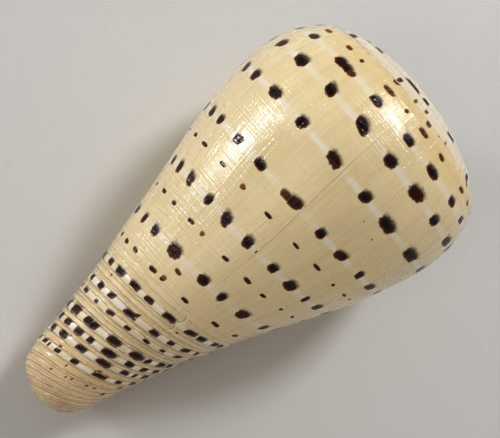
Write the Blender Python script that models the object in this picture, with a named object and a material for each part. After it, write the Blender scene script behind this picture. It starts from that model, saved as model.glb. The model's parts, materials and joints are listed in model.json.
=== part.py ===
"""A large cone shell resting on its aperture, modelled as one closed solid.

The shell is one coiled tube wall. Its points are worked out in the frame of the coil, in millimetres and
radians: `height` runs along the axis from the apex to the anterior tip, `radius` is the distance from the
axis, and `age` is the angle of growth, 0 at the lip and negative towards the apex. `bearing` is the direction
around the axis, 0 in the middle of the back. `lay_down` then turns the shell over onto its lip and flank.
"""
import bpy
import bmesh
import numpy as np
from mathutils import Matrix

NODE_NAME = "cone_shell"
COLLECTION_NAME = "cone_shell_parts"
MM = 0.001
TURN = 2.0 * np.pi

# Outline of the body whorl along the back: height from the apex, radius
BODY_OUTLINE = (
    (8.3, 24.0),
    (13.0, 26.4),
    (20.0, 27.6),
    (32.0, 25.9),
    (58.0, 17.9),
    (76.0, 12.5),
    (88.0, 9.8),
    (94.5, 8.3),
    (98.2, 6.3),
    (99.4, 4.4),
)
TIP_HEIGHT = 99.4
SHOULDER_HEIGHT = 8.3
SHOULDER_BLEND = 8.0

# Coil: the lip's bearing, and how the last turn grows outwards and down
LIP_BEARING = np.radians(-145.0)
LIP_LEAN = np.radians(12.0)
GROWTH_PER_TURN = 3.5
GROWTH_FADE = (62.0, 96.0)
LIP_FLARE = 1.7
FLARE_REACH = np.radians(55.0)
FLARE_FULL_RADIUS = 8.0
SHOULDER_SLIDE_PER_TURN = 4.2
SLIDE_REACH = 40.0
ROW_SLOPE = 0.0445
ROW_SLOPE_AT_APEX = 0.26

# Spire: turns from the lip to the apex, its low cone, and how it bends down towards the shoulder.
# Each ramp has a channel at the suture and a bulge beyond it: share of the ramp's width, depth
TURNS_TO_APEX = 7.4
SPIRE_TURNS = 6
SPIRE_RADIUS_POWER = 1.04
SPIRE_CONE_HEIGHT = 4.6
SPIRE_BEND_POWER = 5.5
RAMP_CHANNEL = (0.25, 0.35)
RAMP_BULGE = (0.65, -0.15)

# Lip and aperture
WALL = 1.7
WALL_AT_EDGE = 1.1
WALL_SHARE_AT_TIP = 0.62
THIN_WALL_RADIUS = 4.0
FULL_WALL_RADIUS = 12.0
WALL_BLEND = np.radians(25.0)
APERTURE_DEPTH = 8
APERTURE_SINK = 1.8
SINK_REACH = 6
SINK_FULL_ROW = 20.0
SINK_FULL_RADIUS = 5.5
CEILING_ROW = 2
RIM_ADVANCE = 0.5
END_ADVANCE = 0.35

# Spiral cords of the base: first valley, spacing and height, and where in a spacing the crest begins and ends
FIRST_CORD = 61.3
CORD_SPACING = 2.9
CORD_HEIGHT = 0.35
CORD_FADE_IN = 8.0
CORD_FADE_OUT = 95.0
CREST_SHARES = (0.3, 0.7)

# Rows of vertices: those below the shoulder, the first and the number of those on the flank, and the last
SHOULDER_ROWS = (0.0, 1.3, 2.7, 4.3, 6.3, 8.9, 12.0)
FLANK_ROW = 24.5
FLANK_ROWS = 7
LAST_ROW = 124.0

# Rest: the flank is level with the ground after this pitch, and a flat is worn this deep into lip and flank
REST_PITCH = np.radians(14.0)
REST_ROLL = np.radians(-2.2)
REST_WEAR = 0.6

COLUMNS_PER_TURN = 40
MERGE_DISTANCE = 0.12
SHORTEST_EDGE = 0.01
SMOOTH_ANGLE = np.radians(40.0)
SHELL_COLOUR = (0.74, 0.62, 0.40, 1.0)
SHELL_ROUGHNESS = 0.28


def ease(low, high, value):
    """Rise from 0 at `low` to 1 at `high` with level ends."""
    share = np.clip((value - low) / (high - low), 0.0, 1.0)
    return share * share * (3.0 - 2.0 * share)


def along_outline(outline, height):
    """Radius of a smooth outline at a height: a cubic between stations, with slopes from their neighbours."""
    heights, radii = np.array(outline).T
    slopes = np.gradient(radii, heights)
    index = int(np.clip(np.searchsorted(heights, height) - 1, 0, len(heights) - 2))
    span = heights[index + 1] - heights[index]
    share = np.clip((height - heights[index]) / span, 0.0, 1.0)
    rise = share * share * (3.0 - 2.0 * share)
    start_tangent = share * (1.0 - share) ** 2 * span * slopes[index]
    end_tangent = share * share * (share - 1.0) * span * slopes[index + 1]
    return radii[index] * (1.0 - rise) + radii[index + 1] * rise + start_tangent + end_tangent


def turns_from_back(age):
    """Turns grown since the middle of the back of the last whorl."""
    return (age - LIP_BEARING) / TURN


def row_height(row, age):
    """Height of a growth row, named by its height at the middle of the back: rows spiral down with age."""
    return row + (ROW_SLOPE * row + ROW_SLOPE_AT_APEX) * (age - LIP_BEARING)


def lip_flare(age):
    """How far the wall stands out of the even spiral as it nears the lip."""
    return LIP_FLARE * ease(-FLARE_REACH, 0.0, age)


def wall_radius(height, age):
    """Radius of the outer wall: the outline, slid down at the shoulder and pushed outwards by growth."""
    turns = turns_from_back(age)
    slide = SHOULDER_SLIDE_PER_TURN * max(0.0, 1.0 - height / SLIDE_REACH)
    radius = along_outline(BODY_OUTLINE, height - slide * turns)
    growth = GROWTH_PER_TURN * (1.0 - ease(*GROWTH_FADE, height))
    return radius + growth * turns + lip_flare(age) * min(1.0, radius / FLARE_FULL_RADIUS)


def shoulder_edge(age):
    """Radius and height of the line on the shoulder that the next whorl covers: it shrinks to the apex."""
    full_age = TURN * TURNS_TO_APEX
    share = (full_age + age) / (full_age + LIP_BEARING)
    radius = BODY_OUTLINE[0][1] * share ** SPIRE_RADIUS_POWER + lip_flare(age)
    bend = SHOULDER_HEIGHT - SPIRE_CONE_HEIGHT
    height = SPIRE_CONE_HEIGHT * share + bend * share ** SPIRE_BEND_POWER
    return radius, height


def cord_relief(row, height):
    """How far a row stands out: flat crests between narrow valleys, none at the shoulder or at the tip."""
    position = (row - FIRST_CORD) / CORD_SPACING
    share = position - np.floor(position)
    start, end = CREST_SHARES
    on_crest = start / 2.0 < share < (end + 1.0) / 2.0
    fade_in = ease(FIRST_CORD, FIRST_CORD + CORD_FADE_IN, row)
    fade_out = 1.0 - ease(CORD_FADE_OUT, TIP_HEIGHT, height)
    return CORD_HEIGHT * fade_in * fade_out * (0.5 if on_crest else -0.5)


def outer_point(row, age):
    """Radius and height of the outer wall where a row crosses an age, held at the tip's flat end."""
    height = min(row_height(row, age), TIP_HEIGHT)
    radius = wall_radius(height, age) + cord_relief(row, height)
    edge_radius, edge_height = shoulder_edge(age)
    first_height = row_height(SHOULDER_HEIGHT, age)
    blend = 1.0 - ease(SHOULDER_HEIGHT, SHOULDER_HEIGHT + SHOULDER_BLEND, row)
    radius += blend * (edge_radius - wall_radius(first_height, age))
    return radius, height + blend * (edge_height - first_height)


def lean(height):
    """How far the lip and every growth line lean back around the axis, none at the shoulder."""
    return LIP_LEAN * ease(SHOULDER_HEIGHT, TIP_HEIGHT, height)


def to_coil_frame(radius, height, age):
    """Point in the coil's frame: X towards the spire, Y to the left of the back, Z out of the back."""
    bearing = LIP_BEARING - age + lean(height)
    return (-height, -radius * np.sin(bearing), radius * np.cos(bearing))


def row_list():
    """Rows from the shoulder down: finer where the outline turns, then three to each cord."""
    shoulder = SHOULDER_HEIGHT + np.array(SHOULDER_ROWS)
    flank = np.linspace(FLANK_ROW, FIRST_CORD, FLANK_ROWS, endpoint=False)
    valleys = np.arange(FIRST_CORD, LAST_ROW, CORD_SPACING)
    cords = [valley + share * CORD_SPACING for valley in valleys for share in (0.0, *CREST_SHARES)]
    return [*shoulder, *flank, *cords, LAST_ROW]


class ShellMesh:
    """Builds the shell's closed surface column by column."""

    def __init__(self):
        self.mesh = bmesh.new()
        self.rows = row_list()
        self.turn = COLUMNS_PER_TURN
        self.depth = APERTURE_DEPTH
        self.last = SPIRE_TURNS * COLUMNS_PER_TURN
        self.outer = self.make_outer_wall()
        self.edge = self.make_shoulder_edge()
        self.apex = self.vertex(0.0, 0.0, 0.0)
        self.ribs = [self.make_ribs(column) for column in range(self.last)]
        self.inner = [self.make_inner_column(column) for column in range(self.depth + 1)]
        self.rim = self.make_rim()
        self.end = self.make_aperture_end()

    def age(self, column):
        """Age of a column: they are counted back from the lip."""
        return -column * TURN / self.turn

    def vertex(self, radius, height, age):
        """Add one vertex."""
        return self.mesh.verts.new(to_coil_frame(radius, height, age))

    def make_outer_wall(self):
        """Columns of the outer wall, over the last whorl and on as the wall that the aperture shows."""
        columns = []
        for column in range(self.turn + self.depth + 1):
            age = self.age(column)
            hidden = ease(-SINK_REACH, SINK_REACH, column - self.turn)
            places = []
            for row in self.rows:
                radius, height = outer_point(row, age)
                sink = APERTURE_SINK * hidden * ease(SHOULDER_HEIGHT, SINK_FULL_ROW, row)
                places.append(self.vertex(radius - sink * min(1.0, radius / SINK_FULL_RADIUS), height, age))
            columns.append(places)
        return columns

    def make_shoulder_edge(self):
        """The shoulder line from the lip to the apex: on the last whorl it is the wall's first row."""
        first = [column[0] for column in self.outer[:self.turn + 1]]
        ages = [self.age(column) for column in range(self.turn + 1, self.last + 1)]
        return first + [self.vertex(*shoulder_edge(age), age) for age in ages]

    def suture(self, column):
        """The vertex where a column's ramp meets the whorl inside it."""
        return self.edge[column + self.turn] if column + self.turn <= self.last else self.apex

    def make_ribs(self, column):
        """Vertices across the ramp of a whorl: a shallow channel at the suture, then a bulge."""
        age = self.age(column)
        outer_radius, outer_height = shoulder_edge(age)
        inner_radius, inner_height = shoulder_edge(age - TURN)
        scale = (outer_radius - inner_radius) / GROWTH_PER_TURN
        ribs = []
        for share, dip in (RAMP_CHANNEL, RAMP_BULGE):
            radius = inner_radius + share * (outer_radius - inner_radius)
            height = inner_height + share * (outer_height - inner_height) + dip * min(scale, 1.0)
            ribs.append(self.vertex(radius, height, age))
        return ribs

    def make_inner_column(self, column):
        """One column of the lip's inner face, from the aperture's ceiling down."""
        age = self.age(column)
        wall = WALL_AT_EDGE + (WALL - WALL_AT_EDGE) * ease(0.0, WALL_BLEND, -age)
        places = []
        for row in self.rows[CEILING_ROW:]:
            radius, height = outer_point(row, age)
            thinning = (1.0 - WALL_SHARE_AT_TIP) * (1.0 - ease(THIN_WALL_RADIUS, FULL_WALL_RADIUS, radius))
            places.append(self.vertex(radius - wall * (1.0 - thinning), height, age))
        return places

    def make_rim(self):
        """The lip's edge, a little ahead of its two faces."""
        rim = []
        for outer, behind, inner in zip(self.outer[0][CEILING_ROW:], self.outer[1][CEILING_ROW:], self.inner[0]):
            ahead = (outer.co - behind.co).normalized() * RIM_ADVANCE
            rim.append(self.mesh.verts.new((outer.co + inner.co) / 2.0 + ahead))
        return rim

    def make_aperture_end(self):
        """The far end of the aperture, half way between its two walls and a little deeper."""
        far_wall = self.outer[self.turn + self.depth][CEILING_ROW:]
        return [self.mesh.verts.new((wall.co + inner.co) / 2.0 + (inner.co - before.co) * END_ADVANCE)
                for wall, inner, before in zip(far_wall, self.inner[self.depth], self.inner[self.depth - 1])]

    def strip(self, left, right):
        """Faces between two columns of equal length."""
        for index in range(len(left) - 1):
            self.mesh.faces.new((left[index], left[index + 1], right[index + 1], right[index]))

    def build_walls(self):
        """The outer wall, the lip's rim and inner face, and the walls of the aperture."""
        for column in range(self.turn + self.depth):
            first = 0 if column < self.turn else CEILING_ROW
            self.strip(self.outer[column][first:], self.outer[column + 1][first:])
        for column in range(self.depth):
            self.strip(self.inner[column + 1], self.inner[column])
        self.strip(self.rim, self.outer[0][CEILING_ROW:])
        self.strip(self.inner[0], self.rim)
        self.strip(self.outer[self.turn + self.depth][CEILING_ROW:], self.end)
        self.strip(self.end, self.inner[self.depth])

    def build_ceiling(self):
        """The aperture's ceiling under the ramp, and the lip's end above it."""
        parietal = [column[CEILING_ROW] for column in self.outer[self.turn:]]
        inner = [column[0] for column in self.inner]
        for column in range(self.depth):
            self.mesh.faces.new((parietal[column], parietal[column + 1], inner[column + 1], inner[column]))
        self.mesh.faces.new((parietal[-1], self.end[0], inner[-1]))
        lip_side = [*self.ribs[0], *self.outer[0][:CEILING_ROW + 1], self.rim[0], inner[0]]
        body_side = [self.outer[self.turn][index] for index in range(CEILING_ROW, -1, -1)]
        self.mesh.faces.new(lip_side + body_side)

    def build_tip(self):
        """The flat anterior end, around the open end of the aperture."""
        around = [column[-1] for column in self.outer]
        back = [column[-1] for column in reversed(self.inner)]
        self.mesh.faces.new([*around, self.end[-1], *back, self.rim[-1]])

    def build_spire(self):
        """The ramps of the whorls, coiled in to the apex."""
        for column in range(self.last - 1):
            here = [self.edge[column], *reversed(self.ribs[column]), self.suture(column)]
            there = [self.edge[column + 1], *reversed(self.ribs[column + 1]), self.suture(column + 1)]
            for index in range(len(here) - 1):
                corners = (here[index], here[index + 1], there[index + 1], there[index])
                self.mesh.faces.new(dict.fromkeys(corners))
        closing = self.last - 1
        corners = (self.edge[closing], *reversed(self.ribs[closing]), self.apex, self.edge[self.last])
        self.mesh.faces.new(corners)

    def finish(self):
        """Close the surface, join what meets at the tip's end, and point every face outwards."""
        self.build_walls()
        self.build_ceiling()
        self.build_tip()
        self.build_spire()
        bmesh.ops.remove_doubles(self.mesh, verts=self.mesh.verts, dist=MERGE_DISTANCE)
        bmesh.ops.dissolve_degenerate(self.mesh, edges=self.mesh.edges, dist=SHORTEST_EDGE)
        bmesh.ops.triangulate(self.mesh, faces=self.mesh.faces)
        bmesh.ops.recalc_face_normals(self.mesh, faces=self.mesh.faces)
        if self.mesh.calc_volume(signed=True) < 0.0:
            bmesh.ops.reverse_faces(self.mesh, faces=self.mesh.faces)
        return self.mesh


def lay_down(mesh):
    """Turn the shell onto its lip and flank, wear the flat it rests on, and centre its box on the origin."""
    turned = Matrix.Rotation(-REST_PITCH, 4, "Y") @ Matrix.Rotation(REST_ROLL, 4, "X")
    bmesh.ops.transform(mesh, matrix=turned, verts=mesh.verts)
    places = np.array([vertex.co for vertex in mesh.verts])
    low, high = places.min(axis=0), places.max(axis=0)
    shift = Matrix.Translation((-(low[0] + high[0]) / 2.0, -(low[1] + high[1]) / 2.0, -low[2] - REST_WEAR))
    bmesh.ops.transform(mesh, matrix=shift, verts=mesh.verts)
    for vertex in mesh.verts:
        vertex.co.z = max(vertex.co.z, 0.0)
    bmesh.ops.transform(mesh, matrix=Matrix.Scale(MM, 4), verts=mesh.verts)


def shell_material():
    """Polished cream shell."""
    material = bpy.data.materials.new("cream_shell")
    material.use_nodes = True
    surface = material.node_tree.nodes["Principled BSDF"]
    surface.inputs["Base Color"].default_value = SHELL_COLOUR
    surface.inputs["Roughness"].default_value = SHELL_ROUGHNESS
    surface.inputs["Metallic"].default_value = 0.0
    return material


def main():
    """Clear the scene and build the shell in its own collection."""
    for item in list(bpy.data.objects):
        bpy.data.objects.remove(item, do_unlink=True)
    mesh = ShellMesh().finish()
    lay_down(mesh)
    data = bpy.data.meshes.new(NODE_NAME)
    mesh.to_mesh(data)
    mesh.free()
    data.shade_smooth()
    data.set_sharp_from_angle(angle=SMOOTH_ANGLE)
    data.materials.append(shell_material())
    collection = bpy.data.collections.new(COLLECTION_NAME)
    bpy.context.scene.collection.children.link(collection)
    collection.objects.link(bpy.data.objects.new(NODE_NAME, data))


main()
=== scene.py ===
"""A large spotted cone shell lying on its flank and lip, in polished shell with rows of near-black spots.

The shell is rebuilt at a finer grain by the same growth law as the solid it replaces. Every point is named
by two growth coordinates: `back`, the angle in degrees back from the lip along the coil, and `row`, the
height in millimetres at which a spiral row crosses the middle of the back. The markings are laid out in these
two coordinates, so they follow the growth of the shell all the way round it.
"""

import json
import logging
import math
from dataclasses import dataclass
from enum import Enum
from functools import reduce
from typing import Callable

import bmesh
import bpy
import numpy as np
from mathutils import Matrix, Vector

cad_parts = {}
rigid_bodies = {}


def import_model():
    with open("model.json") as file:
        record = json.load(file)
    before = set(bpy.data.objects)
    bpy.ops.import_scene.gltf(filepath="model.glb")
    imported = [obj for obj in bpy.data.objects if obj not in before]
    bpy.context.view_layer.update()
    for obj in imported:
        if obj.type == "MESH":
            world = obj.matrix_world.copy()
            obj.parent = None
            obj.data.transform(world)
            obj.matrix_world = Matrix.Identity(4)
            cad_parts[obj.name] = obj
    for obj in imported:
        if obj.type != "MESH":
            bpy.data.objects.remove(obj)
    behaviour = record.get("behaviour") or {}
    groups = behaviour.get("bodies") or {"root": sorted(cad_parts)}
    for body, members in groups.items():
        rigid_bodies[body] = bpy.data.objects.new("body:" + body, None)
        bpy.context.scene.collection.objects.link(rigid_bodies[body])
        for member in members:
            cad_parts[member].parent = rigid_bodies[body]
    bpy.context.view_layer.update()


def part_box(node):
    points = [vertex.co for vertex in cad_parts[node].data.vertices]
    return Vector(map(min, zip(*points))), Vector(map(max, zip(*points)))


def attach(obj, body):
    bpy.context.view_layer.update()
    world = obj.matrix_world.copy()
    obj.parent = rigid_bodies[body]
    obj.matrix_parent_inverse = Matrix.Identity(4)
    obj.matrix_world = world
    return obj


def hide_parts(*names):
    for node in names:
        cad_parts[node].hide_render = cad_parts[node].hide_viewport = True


log = logging.getLogger("cone_shell")

NODE = "cone_shell"
MM = 0.001
TURN = 360.0
APERTURE_SPAN = 75.0


def linear(hex_colour: str) -> tuple[float, float, float, float]:
    """Turn an sRGB hex colour such as "#E8DAB0" into linear RGBA."""
    channels = [int(hex_colour[index:index + 2], 16) / 255.0 for index in (1, 3, 5)]
    bent = [value / 12.92 if value <= 0.04045 else ((value + 0.055) / 1.055) ** 2.4 for value in channels]
    return (*bent, 1.0)


def ease(low: float, high: float, value):
    """Rise from 0 at `low` to 1 at `high` with level ends."""
    share = np.clip((value - low) / (high - low), 0.0, 1.0)
    return share * share * (3.0 - 2.0 * share)


def vectors(*parts) -> np.ndarray:
    """Arrays or numbers of three parts, joined into one array of vectors."""
    return np.stack(np.broadcast_arrays(*parts), axis=-1)


def nearest(values, centres) -> np.ndarray:
    """For each value, the index of the centre nearest to it: one list of centres, or one for each value."""
    return np.argmin(np.abs(values[:, None] - centres), axis=1)


class Part(Enum):
    """Which side of the shell wall a sheet shows, as the share of white glaze over its pattern."""

    OUTSIDE = 0.0
    PARIETAL = 0.6
    INSIDE = 1.0


@dataclass(frozen=True)
class Coil:
    """The growth law of the shell, in millimetres and degrees.

    `height` runs along the axis from the apex to the anterior tip and `radius` is the distance from the axis.
    """

    outline: tuple[tuple[float, float], ...] = (
        (8.3, 24.0), (13.0, 26.4), (20.0, 27.6), (32.0, 25.9), (58.0, 17.9),
        (76.0, 12.5), (88.0, 9.8), (94.5, 8.3), (98.2, 6.3), (99.4, 4.4),
    )
    tip_height: float = 99.4
    shoulder_height: float = 8.3
    shoulder_blend: float = 8.0
    lip_bearing: float = -145.0
    lip_lean: float = 12.0
    growth: float = 3.5
    growth_fade: tuple[float, float] = (62.0, 96.0)
    lip_flare: float = 1.7
    flare_reach: float = 55.0
    flare_full_radius: float = 8.0
    shoulder_slide: float = 4.2
    slide_reach: float = 40.0
    row_slope: float = 0.0445
    row_slope_at_apex: float = 0.26
    turns_to_apex: float = 7.4
    spire_turns: int = 6
    spire_radius_power: float = 1.04
    spire_cone_height: float = 4.6
    spire_bend_power: float = 5.5
    wall: float = 1.7
    wall_at_edge: float = 1.1
    wall_share_at_tip: float = 0.62
    wall_radii: tuple[float, float] = (4.0, 12.0)
    wall_blend: float = 25.0
    aperture_sink: float = 1.8
    sink_reach: float = 54.0
    sink_full_radius: float = 5.5
    sink_top_rows: tuple[float, float] = (8.3, 20.0)

    def turns(self, back):
        """Turns grown since the middle of the back of the last whorl."""
        return (-back - self.lip_bearing) / TURN

    def row_height(self, row, back):
        """Height of a growth row at an angle back from the lip: rows spiral down as they grow."""
        return row + (self.row_slope * row + self.row_slope_at_apex) * np.radians(-back - self.lip_bearing)

    def flare(self, back):
        """How far the wall stands out of the even spiral as it nears the lip."""
        return self.lip_flare * ease(-self.flare_reach, 0.0, -back)

    def along_outline(self, height):
        """Radius of the smooth outline at a height: a cubic between stations."""
        heights, radii = np.array(self.outline).T
        slopes = np.gradient(radii, heights)
        index = np.clip(np.searchsorted(heights, height) - 1, 0, len(heights) - 2)
        span = heights[index + 1] - heights[index]
        share = np.clip((height - heights[index]) / span, 0.0, 1.0)
        rise = share * share * (3.0 - 2.0 * share)
        leave = share * (1.0 - share) ** 2 * slopes[index]
        arrive = share * share * (share - 1.0) * slopes[index + 1]
        return radii[index] * (1.0 - rise) + radii[index + 1] * rise + span * (leave + arrive)

    def wall_radius(self, height, back):
        """Radius of the outer wall: the outline, slid down at the shoulder and pushed outwards by growth."""
        turns = self.turns(back)
        slide = self.shoulder_slide * np.maximum(0.0, 1.0 - height / self.slide_reach)
        radius = self.along_outline(height - slide * turns)
        growth = self.growth * (1.0 - ease(*self.growth_fade, height))
        return radius + growth * turns + self.flare(back) * np.minimum(1.0, radius / self.flare_full_radius)

    def shoulder_edge(self, back):
        """Radius and height of the line on the shoulder that the next whorl covers."""
        share = (self.turns_to_apex * TURN - back) / (self.turns_to_apex * TURN + self.lip_bearing)
        radius = self.outline[0][1] * share ** self.spire_radius_power + self.flare(back)
        bend = self.shoulder_height - self.spire_cone_height
        return radius, self.spire_cone_height * share + bend * share ** self.spire_bend_power

    def outer(self, row, back, relief=0.0):
        """Radius and height of the outer wall where a row crosses an angle back from the lip."""
        height = np.minimum(self.row_height(row, back), self.tip_height)
        radius = self.wall_radius(height, back) + relief
        edge_radius, edge_height = self.shoulder_edge(back)
        first = self.row_height(self.shoulder_height, back)
        blend = 1.0 - ease(self.shoulder_height, self.shoulder_height + self.shoulder_blend, row)
        radius = radius + blend * (edge_radius - self.wall_radius(first, back))
        return radius, height + blend * (edge_height - first)

    def parietal(self, row, back, relief=0.0):
        """The same wall one turn in, sunk a little where the aperture opens onto it."""
        radius, height = self.outer(row, back, relief)
        hidden = ease(-self.sink_reach, self.sink_reach, back - TURN)
        sink = self.aperture_sink * hidden * ease(*self.sink_top_rows, row)
        return radius - sink * np.minimum(1.0, radius / self.sink_full_radius), height

    def inner(self, row, back):
        """Radius and height of the lip's inner face."""
        radius, height = self.outer(row, back)
        wall = self.wall_at_edge + (self.wall - self.wall_at_edge) * ease(0.0, self.wall_blend, back)
        share = self.wall_share_at_tip + (1.0 - self.wall_share_at_tip) * ease(*self.wall_radii, radius)
        return radius - wall * share, height

    def point(self, radius, height, back):
        """Points in the coil's frame: X towards the spire, Y to the left of the back, Z out of the back."""
        lean = self.lip_lean * ease(self.shoulder_height, self.tip_height, height)
        bearing = np.radians(self.lip_bearing + back + lean)
        return vectors(-height, -radius * np.sin(bearing), radius * np.cos(bearing))

    def normal(self, row: float, back: float) -> Vector:
        """Outward direction of the outer wall, in the coil's frame."""
        step = 0.5
        places = [self.point(*self.outer(np.array(row + r), np.array(back + b)), back + b)
                  for r, b in ((step, 0.0), (-step, 0.0), (0.0, step), (0.0, -step))]
        along, around = Vector(places[0] - places[1]), Vector(places[2] - places[3])
        return along.cross(around).normalized() * -1.0


@dataclass(frozen=True)
class Cords:
    """Spiral sculpture of the base: raised white cords with the spots on them, and narrow grooves."""

    white: tuple[float, ...] = (66.2, 70.8, 73.2, 77.4, 80.3, 82.8, 86.0)
    fine: tuple[float, ...] = (61.4, 63.4, 68.4, 75.3, 79.0, 84.4, 88.0, 90.0, 91.5, 92.9)
    grooves: tuple[float, ...] = (
        58.5, 60.6, 62.7, 64.1, 65.5, 67.0, 67.7, 68.8, 70.0, 71.6, 72.6, 74.1, 74.9, 76.0,
        76.6, 78.4, 79.5, 81.1, 82.0, 83.7, 85.2, 86.9, 88.7, 89.3, 90.8, 92.1, 93.7,
    )
    last_fine: float = 94.6
    end: float = 124.0
    spacing: float = 1.6
    white_half: float = 0.72
    fine_half: float = 0.5
    white_rise: float = 0.18
    fine_rise: float = 0.1
    side: tuple[float, float] = (0.45, 1.2)
    fade_in: tuple[float, float] = (57.0, 72.0)
    fade_out: tuple[float, float] = (96.5, 99.4)

    def all(self) -> list[tuple[float, float, float]]:
        """Row, half width and rise of each cord."""
        fine = [*self.fine, *np.arange(self.last_fine, self.end, self.spacing)]
        whites = [(row, self.white_half, self.white_rise) for row in self.white]
        return whites + [(row, self.fine_half, self.fine_rise) for row in fine]

    def all_grooves(self) -> np.ndarray:
        """Rows of the grooves, on to the tip."""
        last = np.arange(self.grooves[-1] + self.spacing / 2.0, self.end, self.spacing / 2.0)
        return np.array([*self.grooves, *last])

    def profile(self, row):
        """How far a row stands out of the mean wall before the cords fade, in millimetres."""
        rise = np.zeros_like(row)
        for centre, half, height in self.all():
            rise = np.maximum(rise, height * (1.0 - ease(*self.side, np.abs(row - centre) / half)))
        return rise - 0.5 * self.fine_rise

    def relief(self, row, height):
        """The profile, none on the smooth flank or at the very tip."""
        return self.profile(row) * ease(*self.fade_in, row) * (1.0 - ease(*self.fade_out, height))


class Ink(Enum):
    """How a spot is coloured: share of black core, share of orange in what isn't black."""

    BLACK = (1.0, 0.0)
    BROWN = (0.5, 0.5)
    ORANGE = (0.15, 1.0)


@dataclass(frozen=True)
class Spot:
    """One spot: its centre, half width in degrees, half height in millimetres, ink and slant."""

    back: float
    row: float
    half_width: float
    half_height: float
    ink: Ink = Ink.BLACK
    slant: float = 0.0


@dataclass(frozen=True)
class SpotRow:
    """A spiral row of spots: the ones seen on the back listed one by one, the rest of the turn at an even
    spacing.

    `seen` gives the half width of each spot seen, by its angle back from the lip.
    """

    row: float
    half_height: float
    half_width: float
    spacing: float
    band: float
    band_half: float
    seen: dict[float, float]
    ink: Ink = Ink.BLACK

    def spots(self, rng: np.random.Generator) -> list[Spot]:
        """Every spot of the row, from the lip back through the aperture."""
        found = []
        for back, width in self.seen.items():
            tall = self.half_height * (0.75 + 0.25 * width / self.half_width) * rng.uniform(0.92, 1.08)
            row = self.row + rng.normal(0.0, 0.06)
            found.append(Spot(back, row, width, tall, self.ink, rng.normal(0.0, 0.12)))
        hidden = [*np.arange(min(self.seen) - self.spacing, 0.0, -self.spacing),
                  *np.arange(max(self.seen) + self.spacing, TURN + APERTURE_SPAN, self.spacing)]
        for back in hidden:
            width = self.half_width * rng.uniform(0.75, 1.35)
            tall = self.half_height * rng.uniform(0.8, 1.2)
            place = back + rng.normal(0.0, 0.13 * self.spacing)
            row = self.row + rng.normal(0.0, 0.12)
            found.append(Spot(place, row, width, tall, self.ink, rng.normal(0.0, 0.2)))
        return found


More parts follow.
